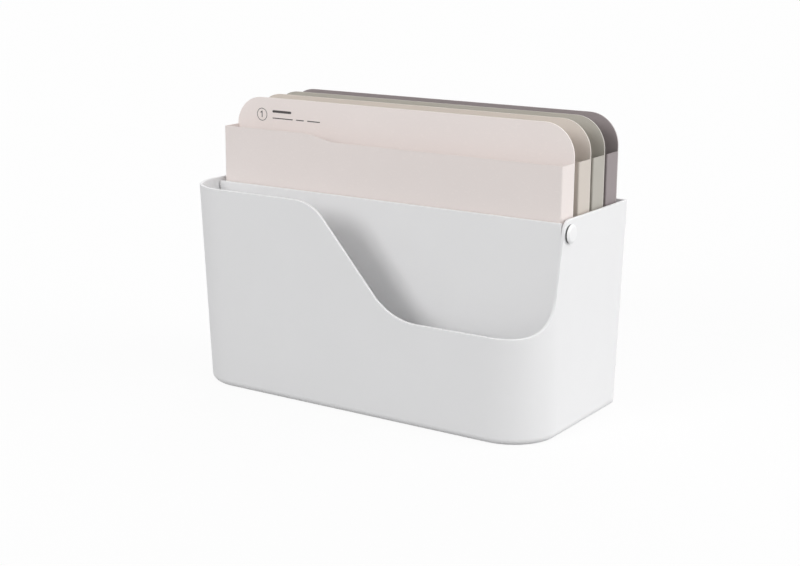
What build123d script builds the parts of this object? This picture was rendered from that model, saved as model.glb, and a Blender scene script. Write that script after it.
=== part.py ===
"""Document organizer: a drafted desk tub with a hinged divider and four tabbed pocket folders.

Millimetres, +Z up, +X to the right as seen from the front, -Y towards the user.
The origin lies on the standing plane, under the middle of the tub's rim outline.
"""

import os
from math import radians, tan

from build123d import *

# Tub
tub_width = 330.0  # across the rim
tub_depth = 151.0  # front to back across the rim
tub_height = 168.0
wall = 2.4
floor = 3.0
side_draft = 1.08  # degrees that each wall leans out
front_draft = 2.58
rear_draft = 1.52
front_corner = 39.0  # plan radius of the two front corners
rear_corner = 2.5
foot_round = 5.8  # outside, where the walls meet the underside
rim_round = 0.6
foot_ring = 9.0  # flat ring that the tub stands on
foot_recess = 0.8  # how far the underside is raised inside that ring

# Scooped front: an S-shaped fall to a low rim that runs round the right corner
low_rim = 83.5
scoop_middle = 3.5  # right of the tub's middle, half way down the slope
scoop_angle = 50.0  # degrees below level
scoop_upper_round = 35.0
scoop_lower_round = 50.0
edge_lean = 8.0  # degrees that the scoop's edge on the side wall leans back
edge_before_pin = 7.6  # at the rim, in front of the divider's pins
edge_round_share = 0.8654  # of the room between the edge's foot and the front wall, for its lower round
edge_upper_round = 9.0

# Folders
folder_depth = 19.0  # pocket front to the rear face of the back sheet
folder_height = 232.2
pocket_height = 203.2  # on the lower, right part of the pocket
pocket_rise = 5.1  # of the higher left part
rise_from_left = 79.0  # length of the higher part
rise_run = 40.0  # length of the S-shaped step between the two
tab_corner = 25.0
back_sheet = 1.2
pocket_sheet = 0.8
fold_round = 1.2
glue_flap = 14.0
flap_below_edge = 12.0  # the glue flaps end this far under the pocket's lower edge
folder_side_gap = 0.95  # to the side walls at the floor
folder_rear_gap = 1.3  # to the rear wall at the floor
folder_stand_gap = 0.1  # to the floor
gap_3_to_4 = 4.4
gap_2_to_3 = 4.5
gap_1_to_2 = 7.7

# Divider and the two pins that it swings on
divider_sheet = 2.0
divider_to_folder = 2.1
divider_below_rim = 2.7
divider_end_gap = 1.4
divider_floor_gap = 4.0
divider_low_corner = 50.0
divider_edge_round = 0.6
ear_reach = 6.2  # divider's front face to the pin axis
ear_radius = 5.5
ear_to_folder = 0.5
pin_below_rim = 10.7
pin_radius = 3.2
pin_clearance = 0.05
head_radius = 7.2
head_gap = 1.2  # head's underside to the wall
head_edge = 0.9  # height of the head's straight rim
head_rise = 1.0  # from that rim to the head's flat
head_bevel = 1.8  # width of the sloping ring between them

overrun = 10.0  # by which cutting shapes pass what they cut


def half_width(height, inset):
    """Half the tub's width at a height, measured to a face set in from the outside."""
    return tub_width / 2 - (tub_height - height) * tan(radians(side_draft)) - inset


def front_y(height, inset):
    """Place of the front wall at a height, set in from the outside."""
    return -tub_depth / 2 + (tub_height - height) * tan(radians(front_draft)) + inset


def rear_y(height, inset):
    """Place of the rear wall at a height, set in from the outside."""
    return tub_depth / 2 - (tub_height - height) * tan(radians(rear_draft)) - inset


def drafted_block(base, top, inset):
    """Block between two heights, set in from the outside, with leaning walls and round front corners."""
    with BuildPart() as block:
        with BuildSketch(Plane.XY.offset(base)):
            Rectangle(tub_width - 2 * inset, tub_depth - 2 * inset)
        extrude(amount=top - base)
        rim_plane = Plane.XY.offset(tub_height)
        draft(block.faces().filter_by(Axis.X), rim_plane, -side_draft)
        draft(block.faces().sort_by(Axis.Y)[0], rim_plane, -front_draft)
        draft(block.faces().sort_by(Axis.Y)[-1], rim_plane, -rear_draft)
        front_edges = block.faces().sort_by(Axis.Y)[0].edges().sort_by(Axis.X)
        fillet([front_edges[0], front_edges[-1]], front_corner - inset)
    return block.part


# Places that follow from the sizes above, worked out from the rear wall forwards
folder_half = half_width(floor, wall) - folder_side_gap
folder_base = floor + folder_stand_gap
folder_4_front = rear_y(floor, wall) - folder_rear_gap - folder_depth
folder_3_front = folder_4_front - gap_3_to_4 - folder_depth
folder_2_front = folder_3_front - gap_2_to_3 - folder_depth
folder_1_front = folder_2_front - gap_1_to_2 - folder_depth
folder_fronts = [folder_1_front, folder_2_front, folder_3_front, folder_4_front]
divider_front = folder_1_front - divider_to_folder - divider_sheet
divider_top = tub_height - divider_below_rim
divider_base = floor + divider_floor_gap
pin_y = divider_front + ear_reach
pin_z = tub_height - pin_below_rim
ear_inner = folder_half + ear_to_folder
ear_outer = half_width(pin_z - ear_radius, wall) - divider_end_gap

os.makedirs("parts", exist_ok=True)

# Shape that scoops out the front: the fall seen from the front, crossed with the edge seen from the right
scoop_half_run = (tub_height - low_rim) / 2 / tan(radians(scoop_angle))
edge_y = pin_y - edge_before_pin
edge_foot_y = edge_y - (tub_height - low_rim) * tan(radians(edge_lean))
edge_foot_room = edge_foot_y - front_y(low_rim, 0)
edge_lower_round = edge_round_share * edge_foot_room / tan(radians(90 - edge_lean) / 2)
scoop_reach = tub_width / 2 + overrun
scoop_top = tub_height + overrun
with BuildPart() as scoop:
    with BuildSketch(Plane.XZ):
        with BuildLine():
            fall = FilletPolyline(
                (-scoop_reach, tub_height),
                (scoop_middle - scoop_half_run, tub_height),
                (scoop_middle + scoop_half_run, low_rim),
                (scoop_reach, low_rim),
                radius=[scoop_upper_round, scoop_lower_round],
            )
            Polyline(fall @ 1, (scoop_reach, scoop_top), (-scoop_reach, scoop_top), fall @ 0)
        make_face()
    extrude(amount=tub_depth, both=True)
    with BuildSketch(Plane.YZ):
        with BuildLine():
            edge = FilletPolyline(
                (-tub_depth, low_rim),
                (edge_foot_y, low_rim),
                (edge_y, tub_height),
                (tub_depth, tub_height),
                radius=[edge_lower_round, edge_upper_round],
            )
            Polyline(edge @ 1, (tub_depth, scoop_top), (-tub_depth, scoop_top), edge @ 0)
        make_face()
    extrude(amount=scoop_reach, both=True, mode=Mode.INTERSECT)

# Rear corners of the bin, which are sharper than the round along its foot
with BuildPart() as rear_corners:
    add(drafted_block(0, tub_height, 0))
    rear_edges = rear_corners.faces().sort_by(Axis.Y)[-1].edges().sort_by(Axis.X)
    fillet([rear_edges[0], rear_edges[-1]], rear_corner)

# Bin: one moulded shell, with its scooped rim rounded all the way along
with BuildPart() as bin_shell:
    add(drafted_block(0, tub_height, 0))
    fillet(bin_shell.edges().group_by(Axis.Z)[0], foot_round)
    add(rear_corners.part, mode=Mode.INTERSECT)
    add(drafted_block(floor, scoop_top, wall), mode=Mode.SUBTRACT)
    add(scoop.part, mode=Mode.SUBTRACT)
    high_edges = bin_shell.edges().filter_by(lambda edge: edge.bounding_box().min.Z > low_rim - wall)
    fillet(high_edges.filter_by(lambda edge: edge.length > 2 * wall), rim_round)
    add(drafted_block(0, foot_recess, foot_round + foot_ring), mode=Mode.SUBTRACT)
    with BuildSketch(Plane.YZ):
        with Locations((pin_y, pin_z)):
            Circle(pin_radius + pin_clearance)
    extrude(amount=scoop_reach, both=True, mode=Mode.SUBTRACT)
bin_shell.part.label = "bin"
export_step(bin_shell.part, "parts/bin.step")

# Divider: a panel that follows the side walls, with a bored ear turned back at each end
with BuildPart() as divider:
    with BuildSketch(Plane.XZ.offset(-divider_front)) as panel:
        with BuildLine():
            base_half = half_width(divider_base, wall) - divider_end_gap
            top_half = half_width(divider_top, wall) - divider_end_gap
            Polyline(
                (-base_half, divider_base),
                (base_half, divider_base),
                (top_half, divider_top),
                (-top_half, divider_top),
                close=True,
            )
        make_face()
        fillet(panel.vertices().group_by(Axis.Y)[0], divider_low_corner)
    extrude(amount=-divider_sheet)
    fillet(divider.edges().filter_by(Axis.X).group_by(Axis.Z)[-1], divider_edge_round)
    for side in (-1, 1):
        with BuildSketch(Plane.YZ.offset(side * ear_inner)):
            with Locations((divider_front + ear_reach / 2, pin_z)):
                Rectangle(ear_reach, 2 * ear_radius)
            with Locations((pin_y, pin_z)):
                Circle(ear_radius)
                Circle(pin_radius + pin_clearance, mode=Mode.SUBTRACT)
        extrude(amount=side * (ear_outer - ear_inner))
divider.part.label = "divider"
export_step(divider.part, "parts/divider.step")

# Pins: bevelled heads outside the side walls, shanks through the walls into the ears
head_base = half_width(pin_z, 0) + head_gap
head_crown = head_base + head_edge + head_rise
for name, side in (("pin_left", -1), ("pin_right", 1)):
    with BuildPart() as pin:
        with BuildSketch(Plane(origin=(0, pin_y, pin_z), x_dir=(side, 0, 0), z_dir=(0, -side, 0))):
            with BuildLine():
                Polyline(
                    (ear_inner, 0),
                    (ear_inner, pin_radius),
                    (head_base, pin_radius),
                    (head_base, head_radius),
                    (head_base + head_edge, head_radius),
                    (head_crown, head_radius - head_bevel),
                    (head_crown, 0),
                    close=True,
                )
            make_face()
        revolve(axis=Axis((0, pin_y, pin_z), (1, 0, 0)))
    pin.part.label = name
    export_step(pin.part, f"parts/{name}.step")

# Folders: a stiff back sheet with a round-cornered tab, and a folded pocket glued to its front
pocket_depth = folder_depth - back_sheet
pocket_top = folder_base + pocket_height + pocket_rise
flap_height = pocket_height - flap_below_edge
rise_end = -folder_half + rise_from_left
for number, front in enumerate(folder_fronts, start=1):
    with BuildPart() as back:
        with BuildSketch(Plane.XZ.offset(-front - pocket_depth)) as sheet:
            with Locations((0, folder_base + folder_height / 2)):
                Rectangle(2 * folder_half, folder_height)
            fillet(sheet.vertices().group_by(Axis.Y)[-1], tab_corner)
        extrude(amount=-back_sheet)
    back.part.label = f"folder_{number}_back"
    export_step(back.part, f"parts/{back.part.label}.step")

    with BuildPart() as pocket:
        with BuildSketch(Plane.XY.offset(folder_base)):
            with Locations((0, front + pocket_depth / 2)):
                Rectangle(2 * folder_half, pocket_depth)
        extrude(amount=pocket_height + pocket_rise + overrun)
        uprights = pocket.edges().filter_by(Axis.Z).group_by(Axis.Y)[0]
        base_edges = pocket.edges().group_by(Axis.Z)[0].sort_by(Axis.Y)[:-1]
        fillet(uprights + base_edges, fold_round)
        with BuildSketch(Plane.XY.offset(folder_base + pocket_sheet)):
            with Locations((0, front + pocket_sheet + pocket_depth / 2)):
                Rectangle(2 * (folder_half - pocket_sheet), pocket_depth)
        extrude(amount=pocket_height + pocket_rise + overrun, mode=Mode.SUBTRACT)
        with BuildSketch(Plane.XZ.offset(-front - pocket_depth)):
            with Locations((0, folder_base + flap_height / 2)):
                Rectangle(2 * folder_half, flap_height)
            with Locations((0, folder_base + flap_height / 2 + glue_flap)):
                Rectangle(2 * (folder_half - glue_flap), flap_height, mode=Mode.SUBTRACT)
        extrude(amount=pocket_sheet)
        with BuildSketch(Plane.XZ.offset(-front)):
            with BuildLine():
                middle = (rise_end + rise_run / 2, pocket_top - pocket_rise / 2)
                fall_end = (rise_end + rise_run, pocket_top - pocket_rise)
                upper = TangentArc((rise_end, pocket_top), middle, tangent=(1, 0))
                TangentArc(fall_end, middle, tangent=(-1, 0))
                Polyline(
                    fall_end,
                    (folder_half + overrun, pocket_top - pocket_rise),
                    (folder_half + overrun, pocket_top + 2 * overrun),
                    (-folder_half - overrun, pocket_top + 2 * overrun),
                    (-folder_half - overrun, pocket_top),
                    upper @ 0,
                )
            make_face()
        extrude(amount=folder_depth, both=True, mode=Mode.SUBTRACT)
    pocket.part.label = f"folder_{number}_pocket"
    export_step(pocket.part, f"parts/{pocket.part.label}.step")
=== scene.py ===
from math import cos, pi, radians, sin

import bpy
from mathutils import Euler, Matrix, Vector


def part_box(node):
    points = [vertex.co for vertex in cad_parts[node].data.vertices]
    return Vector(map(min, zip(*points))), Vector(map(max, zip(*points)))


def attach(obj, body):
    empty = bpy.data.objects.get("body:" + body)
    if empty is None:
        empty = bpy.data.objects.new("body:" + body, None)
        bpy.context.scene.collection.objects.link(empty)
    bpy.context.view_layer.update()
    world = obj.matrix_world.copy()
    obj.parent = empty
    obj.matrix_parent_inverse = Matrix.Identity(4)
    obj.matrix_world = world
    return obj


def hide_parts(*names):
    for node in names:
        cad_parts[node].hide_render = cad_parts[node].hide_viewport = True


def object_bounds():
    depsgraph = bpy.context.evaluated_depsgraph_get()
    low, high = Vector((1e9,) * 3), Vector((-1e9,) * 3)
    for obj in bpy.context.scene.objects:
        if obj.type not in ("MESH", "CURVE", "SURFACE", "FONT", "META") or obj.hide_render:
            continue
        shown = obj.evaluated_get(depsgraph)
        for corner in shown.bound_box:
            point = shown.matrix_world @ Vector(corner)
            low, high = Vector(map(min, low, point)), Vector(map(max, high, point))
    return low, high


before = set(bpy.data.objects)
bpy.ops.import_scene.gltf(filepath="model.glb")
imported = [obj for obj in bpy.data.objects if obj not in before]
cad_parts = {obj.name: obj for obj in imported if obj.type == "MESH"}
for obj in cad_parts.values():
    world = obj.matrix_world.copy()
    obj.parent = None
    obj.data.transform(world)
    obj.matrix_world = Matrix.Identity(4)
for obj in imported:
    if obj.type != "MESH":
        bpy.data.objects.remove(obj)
cad_low, cad_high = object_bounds()

mm = 0.001
folders = ("folder_1", "folder_2", "folder_3", "folder_4")

# Camera at the photograph's viewing angle
camera_place = Vector((654.14, -990.70, 381.28)) * mm
camera_heading = radians(33.381)
camera_pitch = radians(13.654)
camera_roll = radians(0.331)
camera_lens = 67.723
camera_sensor = 36.0
camera_sight = 100.0

# Studio: headings turn from the front towards the right
floor_reach = 40.0
floor_gap = 0.02 * mm  # under the tub's standing ring
floor_colour = (0.35, 0.35, 0.35, 1)
floor_shade_share = 0.22  # of its own shading, in a floor that glows white
floor_glow = 1.17
backdrop_strength = 1.0
sky_strength = 0.62
sky_lean = 0.55  # share that the sky gains towards the far right and loses towards the far left
lamps = {
    "right": {"strength": 1.98, "heading": radians(110), "height": radians(10), "softness": radians(60)},
    "front": {"strength": 1.07, "heading": radians(-16), "height": radians(24), "softness": radians(25)},
    "back": {"strength": 0.9, "heading": radians(-155), "height": radians(20), "softness": radians(50)},
}
white = (1, 1, 1, 1)

# Noise in the finishes
cloud_detail = 3.0
fibre_detail = 3.0
grain_detail = 2.0
fleck_detail = 1.0
noise_middle = 0.5

# Moulded plastic
tub_colour = (0.855, 0.855, 0.862, 1)
panel_colour = (0.855, 0.855, 0.860, 1)
# painted highlight: the pins are a touch lighter than the tub, for the light on their heads
pin_colour = (0.885, 0.885, 0.890, 1)
tub_roughness = 0.6
panel_roughness = 0.45
pin_roughness = 0.34
plastic_index = 1.49
plastic_cloud = 45 * mm
plastic_tint = 0.015  # share by which the clouds lighten and darken it
plastic_grain = 0.35 * mm
plastic_grain_depth = 0.02 * mm
plastic_grain_strength = 0.35
plastic_cloud_gloss = 0.08
plastic_grain_gloss = 0.12
# Painted shade: the tub's wall is darkened under each pin's head, for the shadow in the gap there
painted_shade_inset = 0.3 * mm  # from a pin head's rim to the edge of the shade painted under it on the tub's wall
painted_shade_depth = 1.2 * mm  # that the painted shade reaches into the wall
painted_shade_share = 0.2  # of the tub's own colour, in that painted shade

# Card of the folders, front to back
card_colours = {
    "folder_1": (0.850, 0.780, 0.755, 1),
    "folder_2": (0.640, 0.583, 0.527, 1),
    "folder_3": (0.468, 0.447, 0.401, 1),
    "folder_4": (0.305, 0.265, 0.270, 1),
}
back_painted_light = 1.08  # painted light: the back sheets are made a touch lighter than the pockets, for the stronger light on the tabs
pulp_colour = (0.90, 0.87, 0.84, 1)
pulp_share = 0.25  # of the pulp's colour, where the card is cut
core_tint = 0.056  # share by which the fibres darken the cut
card_index = 1.45
card_roughness = 0.62
card_cloud = 30 * mm
card_tint = 0.014  # share by which the clouds lighten and darken it
card_fibre = 0.5 * mm
card_fibre_lie = (0.35, 1, 1)
card_fibre_depth = 0.02 * mm
card_fibre_strength = 0.3
card_fibre_gloss = 0.16
card_fleck = 1.6 * mm
card_fleck_lie = (0.5, 1, 1)
card_fleck_level = 0.66
card_fleck_share = 0.35
card_fleck_lift = 1.05
cut_roughness = 0.15
facing = 0.5  # a face counts as facing an axis past this much of its normal

# Print on each folder's tab, from the sheet's upper left corner
upright = (pi / 2, 0, 0)  # turns a flat outline to face the front
ink_colour = (0.075, 0.070, 0.070, 1)
ink_height = 0.06 * mm
ink_patch = 0.8 * mm
ink_tint = 0.2
ink_roughness = 0.5
ink_patch_gloss = 0.2
ring_from_left = 26.0 * mm
ring_from_top = 14.3 * mm
ring_radius = 5.3 * mm
ring_line = 0.5 * mm
ring_sides = 72
numeral_size = 8.0 * mm
flag_length = 2.1 * mm  # slanted stroke of the 1
flag_slope = radians(40)
weld_reach = 0.01 * mm
weld_angle = radians(0.2)
heading_from_left = 37.0 * mm
heading_from_top = 11.0 * mm
heading_length = 19.5 * mm
heading_height = 2.0 * mm
note_from_left = 37.0 * mm
note_from_top = 16.6 * mm
note_lengths = (21.0 * mm, 8.0 * mm, 13.0 * mm)
note_gap = 3.4 * mm
note_height = 0.8 * mm
rule_end_share = 0.45  # of a rule's height, for the rounds at its ends
rule_end_steps = 5

# Pins that the divider swings on
pin_sides = 96
shank_radius = 3.2 * mm
tip_bevel = 0.7 * mm
head_gap = 1.2 * mm  # to the tub's wall
head_edge = 0.9 * mm
head_rise = 1.0 * mm
head_bevel = 1.8 * mm
pin_edge_round = 0.4 * mm
pin_edge_steps = 5
pin_edge_angle = radians(20)


class Wire:
    """A shader socket that Python's operators work on."""

    def __init__(self, nodes, socket):
        self.nodes = nodes
        self.socket = socket

    def maths(self, operation, first, second=0.0):
        return self.nodes.add("Math", {"operation": operation}, {0: first, 1: second})

    def __add__(self, other):
        return self.maths("ADD", self, other)

    def __radd__(self, other):
        return self.maths("ADD", other, self)

    def __sub__(self, other):
        return self.maths("SUBTRACT", self, other)

    def __rsub__(self, other):
        return self.maths("SUBTRACT", other, self)

    def __mul__(self, other):
        return self.maths("MULTIPLY", self, other)

    def __rmul__(self, other):
        return self.maths("MULTIPLY", other, self)

    def __gt__(self, other):
        return self.maths("GREATER_THAN", self, other)

    def __lt__(self, other):
        return self.maths("LESS_THAN", self, other)

    def __abs__(self):
        return self.maths("ABSOLUTE", self)


class Nodes:
    """A node tree in the making, with one method that adds any node."""

    first_colour, second_colour, mixed_colour = 6, 7, 2  # sockets of a Mix node

    def __init__(self, tree):
        self.tree = tree
        tree.nodes.clear()

    def add(self, kind, settings=None, inputs=None, output=0):
        """Adds a node, sets it up, feeds its sockets and returns one of its outputs."""
        made = self.tree.nodes.new("ShaderNode" + kind)
        for name, value in (settings or {}).items():
            setattr(made, name, value)
        for name, value in (inputs or {}).items():
            if isinstance(value, Wire):
                self.tree.links.new(value.socket, made.inputs[name])
            else:
                made.inputs[name].default_value = value
        return Wire(self, made.outputs[output]) if made.outputs else None

    def noise(self, size, detail, lie=(1, 1, 1)):
        """Noise from 0 to 1, its features about a size across and longer along an axis with a low lie."""
        place = self.add("TexCoord", output="Object")
        place = self.add("Mapping", inputs={"Vector": place, "Scale": lie})
        return self.add("TexNoise", inputs={"Vector": place, "Scale": 1 / size, "Detail": detail})

    def mix(self, share, first, second):
        """A colour between two colours."""
        inputs = {"Factor": share, self.first_colour: first, self.second_colour: second}
        return self.add("Mix", {"data_type": "RGBA"}, inputs, self.mixed_colour)

    def axis(self, coordinates, name):
        """One of the three numbers of a coordinate, a direction or a normal."""
        vector = self.add("TexCoord", output=coordinates)
        return self.add("SeparateXYZ", inputs={"Vector": vector}, output=name)

    def bump(self, height, distance, strength):
        """A normal that follows a height."""
        return self.add("Bump", inputs={"Height": height, "Distance": distance, "Strength": strength})

    def seen(self):
        """1 for what the camera sees, straight or in a gloss or a glass, and 0 for light on its way."""
        rays = ("Is Camera Ray", "Is Glossy Ray", "Is Transmission Ray")
        straight, glossy, through = [self.add("LightPath", output=ray) for ray in rays]
        return self.add("Clamp", inputs={"Value": straight + glossy + through})


def shade(colour, share):
    """A colour made darker or lighter."""
    return (colour[0] * share, colour[1] * share, colour[2] * share, 1)


def new_material(name):
    material = bpy.data.materials.new(name)
    material.use_nodes = True
    return material, Nodes(material.node_tree)


def surface(nodes, inputs):
    """Ends a material in one principled shader."""
    shader = nodes.add("BsdfPrincipled", inputs=inputs)
    nodes.add("OutputMaterial", inputs={"Surface": shader})


# Camera and studio
def make_camera():
    lens = bpy.data.cameras.new("camera")
    lens.sensor_width = camera_sensor
    lens.lens = camera_lens
    lens.clip_end = camera_sight
    camera = bpy.data.objects.new("camera", lens)
    level = Euler((pi / 2 - camera_pitch, 0, camera_heading)).to_matrix()
    turn = level @ Matrix.Rotation(camera_roll, 3, "Z")
    camera.matrix_world = Matrix.Translation(camera_place) @ turn.to_4x4()
    bpy.context.scene.collection.objects.link(camera)
    bpy.context.scene.camera = camera


def make_lamp(name, strength, heading, height, softness):
    """A wide soft light that comes from one direction."""
    lamp = bpy.data.lights.new(name, "SUN")
    lamp.energy = strength
    lamp.angle = softness
    holder = bpy.data.objects.new(name, lamp)
    from_where = Vector((sin(heading) * cos(height), -cos(heading) * cos(height), sin(height)))
    holder.rotation_mode = "QUATERNION"
    holder.rotation_quaternion = from_where.to_track_quat("Z", "Y")
    bpy.context.scene.collection.objects.link(holder)


def make_sky():
    """A soft light from all round, stronger from the right, with a white backdrop for the camera."""
    world = bpy.data.worlds.new("sky")
    world.use_nodes = True
    nodes = Nodes(world.node_tree)
    strength = sky_strength * (1 + sky_lean * nodes.axis("Generated", "X"))
    lighting = nodes.add("Background", inputs={"Color": white, "Strength": strength})
    backdrop = nodes.add("Background", inputs={"Color": white, "Strength": backdrop_strength})
    both = nodes.add("MixShader", inputs={0: nodes.seen(), 1: lighting, 2: backdrop})
    nodes.add("OutputWorld", inputs={"Surface": both})
    bpy.context.scene.world = world


def make_floor():
    """A pale floor that the camera sees as white, with a light shadow under the tub."""
    pick_nothing()
    bpy.ops.mesh.primitive_plane_add(size=2 * floor_reach, location=(0, 0, cad_low.z - floor_gap))
    floor = bpy.context.object
    floor.name = "floor"
    material, nodes = new_material("floor")
    paint = nodes.add("BsdfDiffuse", inputs={"Color": floor_colour})
    glow = nodes.add("Emission", inputs={"Color": white, "Strength": floor_glow})
    share = nodes.seen() * (1 - floor_shade_share)
    both = nodes.add("MixShader", inputs={0: share, 1: paint, 2: glow})
    nodes.add("OutputMaterial", inputs={"Surface": both})
    floor.data.materials.append(material)


# Finishes
def moulded_plastic(name, colour, roughness, find_painted_shade=None):
    """Satin moulded plastic, faintly cloudy, with a fine eroded grain, and shade painted under the pins'
    heads.
    """
    material, nodes = new_material(name)
    cloud = nodes.noise(plastic_cloud, cloud_detail)
    grain = nodes.noise(plastic_grain, grain_detail)
    base = nodes.mix(cloud, shade(colour, 1 - plastic_tint), shade(colour, 1 + plastic_tint))
    if find_painted_shade:
        # painted shade: the tub's colour darkened under the pins' heads
        base = nodes.mix(find_painted_shade(nodes), base, shade(colour, painted_shade_share))
    cloud_gloss = (cloud - noise_middle) * plastic_cloud_gloss
    grain_gloss = (grain - noise_middle) * plastic_grain_gloss
    surface(nodes, {
        "Base Color": base,
        "Roughness": roughness + (cloud_gloss + grain_gloss),
        "Normal": nodes.bump(grain, plastic_grain_depth, plastic_grain_strength),
        "IOR": plastic_index,
    })
    return material


def pin_seats(nodes):
    """1 on the outside of the tub's walls under the pins' heads, where shade is painted."""
    low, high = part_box("pin_right")
    radius = (high.z - low.z) / 2 - painted_shade_inset
    along = nodes.axis("Object", "Y") - (low.y + high.y) / 2
    up = nodes.axis("Object", "Z") - (low.z + high.z) / 2
    wall_face = high.x - head_rise - head_edge - head_gap
    outside = abs(nodes.axis("Object", "X")) > wall_face - painted_shade_depth
    return outside * ((along * along + up * up) < radius**2)


def card(name, colour, find_cut):
    """Matt coated card with faint fibres and flecks, and a paler core where it is cut."""
    material, nodes = new_material(name)
    cloud = nodes.noise(card_cloud, cloud_detail)
    fibre = nodes.noise(card_fibre, fibre_detail, card_fibre_lie)
    fleck = nodes.noise(card_fleck, fleck_detail, card_fleck_lie)
    face = nodes.mix(cloud, shade(colour, 1 - card_tint), shade(colour, 1 + card_tint))
    face = nodes.mix((fleck > card_fleck_level) * card_fleck_share, face, shade(colour, card_fleck_lift))
    core = core_colour(colour)
    cut = find_cut(nodes)
    base = nodes.mix(cut, face, nodes.mix(fibre, shade(core, 1 - core_tint), core))
    surface(nodes, {
        "Base Color": base,
        "Roughness": card_roughness + (fibre - noise_middle) * card_fibre_gloss + cut * cut_roughness,
        "Normal": nodes.bump(fibre, card_fibre_depth, card_fibre_strength),
        "IOR": card_index,
    })
    return material


def core_colour(colour):
    """Colour of the card's core, between its face and plain pulp."""
    return tuple(Vector(colour).lerp(Vector(pulp_colour), pulp_share))


def sheet_cut(nodes):
    """1 on the edges of a flat sheet, which don't face forwards or back."""
    return abs(nodes.axis("Normal", "Y")) < facing


def pocket_cut(nodes):
    """1 on the upper edges of a pocket, and not on its floor."""
    low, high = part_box("folder_1_pocket")
    upwards = nodes.axis("Normal", "Z") > facing
    return upwards * (nodes.axis("Object", "Z") > (low.z + high.z) / 2)


def ink(name):
    """Matt print with a slightly uneven lay."""
    material, nodes = new_material(name)
    patch = nodes.noise(ink_patch, grain_detail)
    surface(nodes, {
        "Base Color": nodes.mix(patch, shade(ink_colour, 1 - ink_tint), shade(ink_colour, 1 + ink_tint)),
        "Roughness": ink_roughness + patch * ink_patch_gloss,
        "IOR": card_index,
    })
    return material


def dress(node, material):
    """Gives a part of the frame its finish."""
    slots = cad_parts[node].data.materials
    slots.clear()
    slots.append(material)


# Handling of pieces
def pick_nothing():
    """Leaves object mode with nothing selected."""
    if bpy.context.object and bpy.context.object.mode == "EDIT":
        bpy.ops.object.mode_set(mode="OBJECT")
    bpy.ops.object.select_all(action="DESELECT")


def pick(pieces):
    """Selects pieces, the first of them active."""
    pick_nothing()
    for piece in pieces:
        piece.select_set(True)
    bpy.context.view_layer.objects.active = pieces[0]


def copy_of(piece):
    """A copy with a mesh of its own."""
    copied = piece.copy()
    copied.data = piece.data.copy()
    bpy.context.scene.collection.objects.link(copied)
    return copied


def joined(pieces):
    pick(pieces)
    bpy.ops.object.join()
    return bpy.context.object


def weld(piece):
    """Merges the doubled corners of a skin and clears its slivers."""
    pick([piece])
    bpy.ops.object.mode_set(mode="EDIT")
    bpy.ops.mesh.select_all(action="SELECT")
    bpy.ops.mesh.remove_doubles(threshold=weld_reach)
    bpy.ops.mesh.dissolve_limited(angle_limit=weld_angle)
    bpy.ops.mesh.normals_make_consistent(inside=False)
    bpy.ops.object.mode_set(mode="OBJECT")


def united(piece, added):
    """One skin round two pieces."""
    pick([piece])
    union = piece.modifiers.new("union", "BOOLEAN")
    union.operation = "UNION"
    union.object = added
    bpy.ops.object.modifier_apply(modifier=union.name)
    bpy.data.objects.remove(added)
    weld(piece)
    return piece


def settle(piece, name, material):
    """Puts a piece's place, turn and size into its mesh, names it and paints it."""
    pick([piece])
    bpy.ops.object.transform_apply(location=True, rotation=True, scale=True)
    piece.name = name
    piece.data.name = name
    piece.data.materials.clear()
    piece.data.materials.append(material)


# Print, drawn from the sheet's upper left corner at the origin
def raise_ink():
    """Gives the flat outline in edit mode the thickness of print, towards the front."""
    bpy.ops.mesh.select_all(action="SELECT")
    bpy.ops.mesh.extrude_region_move(TRANSFORM_OT_translate={"value": (0, -ink_height, 0)})
    bpy.ops.mesh.select_all(action="SELECT")
    bpy.ops.mesh.normals_make_consistent(inside=False)
    bpy.ops.object.mode_set(mode="OBJECT")


def printed_ring():
    pick_nothing()
    centre = (ring_from_left, 0, -ring_from_top)
    bpy.ops.mesh.primitive_circle_add(
        vertices=ring_sides, radius=ring_radius, fill_type="NGON", location=centre, rotation=upright
    )
    ring = bpy.context.object
    bpy.ops.object.mode_set(mode="EDIT")
    bpy.ops.mesh.inset(thickness=ring_line)
    bpy.ops.mesh.delete(type="FACE")
    raise_ink()
    return ring


def printed_rule(from_left, from_top, length, height):
    """A bar with rounded ends."""
    pick_nothing()
    centre = (from_left + length / 2, 0, -from_top)
    bpy.ops.mesh.primitive_plane_add(size=1, location=centre, rotation=upright)
    rule = bpy.context.object
    rule.scale = (length, height, 1)
    bpy.ops.object.transform_apply(location=False, rotation=False, scale=True)
    bpy.ops.object.mode_set(mode="EDIT")
    bpy.ops.mesh.select_all(action="SELECT")
    bpy.ops.mesh.bevel(offset=rule_end_share * height, segments=rule_end_steps, affect="VERTICES")
    raise_ink()
    return rule


def printed_numeral(text):
    """A numeral in the middle of the ring, welded into a closed skin."""
    pick_nothing()
    centre = (ring_from_left, -ink_height / 2, -ring_from_top)
    bpy.ops.object.text_add(location=centre, rotation=upright)
    numeral = bpy.context.object
    numeral.data.body = text
    numeral.data.size = numeral_size
    numeral.data.align_x = "CENTER"
    numeral.data.align_y = "CENTER"
    numeral.data.extrude = ink_height / 2
    bpy.ops.object.convert(target="MESH")
    weld(bpy.context.object)
    return bpy.context.object


def printed_one():
    """A 1 with a slanted stroke at the top of its bar."""
    bar = printed_numeral("1")
    corners = [bar.matrix_world @ Vector(corner) for corner in bar.bound_box]
    left = min(corner.x for corner in corners)
    right = max(corner.x for corner in corners)
    top = max(corner.z for corner in corners)
    stroke = right - left
    flag = printed_rule(0, 0, flag_length, stroke)
    flag.rotation_euler.y = -flag_slope
    flag.location.x = (left + right - flag_length * cos(flag_slope)) / 2
    flag.location.z = top - (stroke + flag_length * sin(flag_slope)) / 2
    return united(bar, flag)


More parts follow.
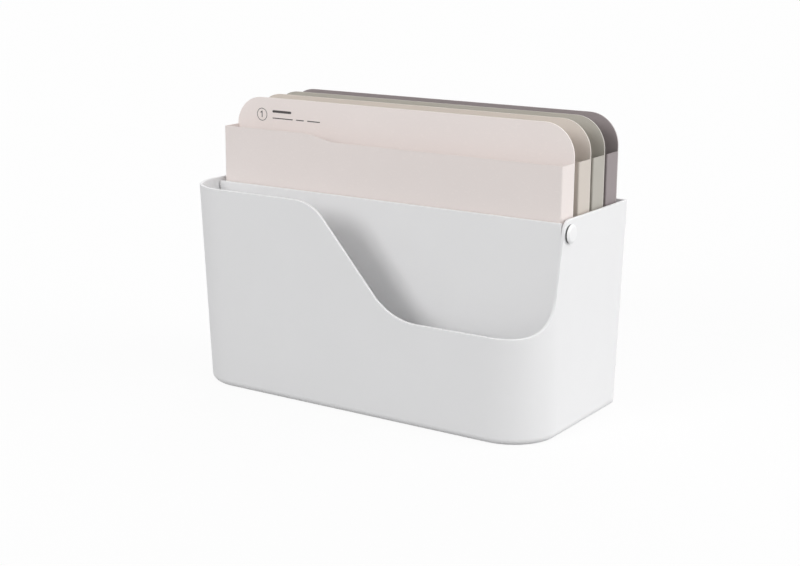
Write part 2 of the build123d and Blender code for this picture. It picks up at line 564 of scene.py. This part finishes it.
def printed_marks():
    """What all the tabs share: the ring, the heading rule and the broken note rule."""
    marks = [printed_ring()]
    marks.append(printed_rule(heading_from_left, heading_from_top, heading_length, heading_height))
    from_left = note_from_left
    for length in note_lengths:
        marks.append(printed_rule(from_left, note_from_top, length, note_height))
        from_left += length + note_gap
    return joined(marks)


def print_tab(folder, number, marks, material):
    """Prints one folder's tab on the front of its back sheet."""
    low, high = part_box(f"{folder}_back")
    numeral = printed_one() if number == 1 else printed_numeral(str(number))
    tab = joined([copy_of(marks), numeral])
    pick([tab])
    bpy.ops.object.transform_apply(location=True, rotation=True, scale=True)
    tab.location = (low.x, low.y, high.z)
    settle(tab, f"{folder}_print", material)
    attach(tab, folder)


# Pins
def draw_out(height, radius, wider):
    """Extrudes the picked end of a pin to a height and widens it there."""
    bpy.ops.mesh.extrude_region_move(TRANSFORM_OT_translate={"value": (0, 0, height)})
    bpy.ops.transform.resize(value=(wider / radius, wider / radius, 1), center_override=(0, 0, 0))


def turned_pin(length, head_radius):
    """A pin along Z from its tip at the origin: a shank, and a flat round head with a sloping edge."""
    pick_nothing()
    tip_radius = shank_radius - tip_bevel
    shank_length = length - tip_bevel - head_edge - head_rise
    bpy.ops.mesh.primitive_circle_add(vertices=pin_sides, radius=tip_radius, fill_type="NGON")
    pin = bpy.context.object
    bpy.ops.object.mode_set(mode="EDIT")
    draw_out(tip_bevel, tip_radius, shank_radius)
    draw_out(shank_length, shank_radius, shank_radius)
    draw_out(0, shank_radius, head_radius)
    draw_out(head_edge, head_radius, head_radius)
    draw_out(head_rise, head_radius, head_radius - head_bevel)
    bpy.ops.mesh.select_all(action="SELECT")
    bpy.ops.mesh.normals_make_consistent(inside=False)
    bpy.ops.object.mode_set(mode="OBJECT")
    rounding = pin.modifiers.new("rounding", "BEVEL")
    rounding.width = pin_edge_round
    rounding.segments = pin_edge_steps
    rounding.limit_method = "ANGLE"
    rounding.angle_limit = pin_edge_angle
    bpy.ops.object.modifier_apply(modifier=rounding.name)
    bpy.ops.object.shade_smooth_by_angle(angle=pin_edge_angle)
    return pin


def fit_pin(pin, node, side, material):
    """Puts a pin where its CAD solid is, with its head to the right (1) or left (-1)."""
    low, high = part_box(node)
    tip_x = low.x if side > 0 else high.x
    pin.rotation_euler = (0, side * pi / 2, 0)
    pin.location = (tip_x, (low.y + high.y) / 2, (low.z + high.z) / 2)
    settle(pin, f"{node}_turned", material)
    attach(pin, "divider")
    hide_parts(node)


def make_pins():
    """Turns one pin, and fits it and a copy of it at the divider's two ends."""
    pin_white = moulded_plastic("pin_white", pin_colour, pin_roughness)
    low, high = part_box("pin_right")
    right_pin = turned_pin(high.x - low.x, (high.y - low.y) / 2)
    left_pin = copy_of(right_pin)
    fit_pin(right_pin, "pin_right", 1, pin_white)
    fit_pin(left_pin, "pin_left", -1, pin_white)


# The organizer, piece by piece
def dress_tub_and_divider():
    """Gives the tub and the divider their plastic."""
    dress("bin", moulded_plastic("tub_white", tub_colour, tub_roughness, pin_seats))
    dress("divider", moulded_plastic("panel_white", panel_colour, panel_roughness))


def dress_folder(folder):
    """Gives a folder's pocket and back sheet their card."""
    pocket_colour = card_colours[folder]
    dress(f"{folder}_pocket", card(f"{folder}_pocket", pocket_colour, pocket_cut))
    # painted light: the back sheet's card is lightened above the pocket's
    dress(f"{folder}_back", card(f"{folder}_back", shade(pocket_colour, back_painted_light), sheet_cut))


def print_tabs():
    """Prints all the tabs, numbered from the front."""
    print_ink = ink("print_ink")
    marks = printed_marks()
    for number, folder in enumerate(folders, start=1):
        print_tab(folder, number, marks, print_ink)
    bpy.data.objects.remove(marks)


make_camera()
make_sky()
make_floor()
for name, lamp in lamps.items():
    make_lamp(name, **lamp)
dress_tub_and_divider()
for folder in folders:
    dress_folder(folder)
make_pins()
print_tabs()

bpy.context.scene.view_settings.view_transform = "Standard"
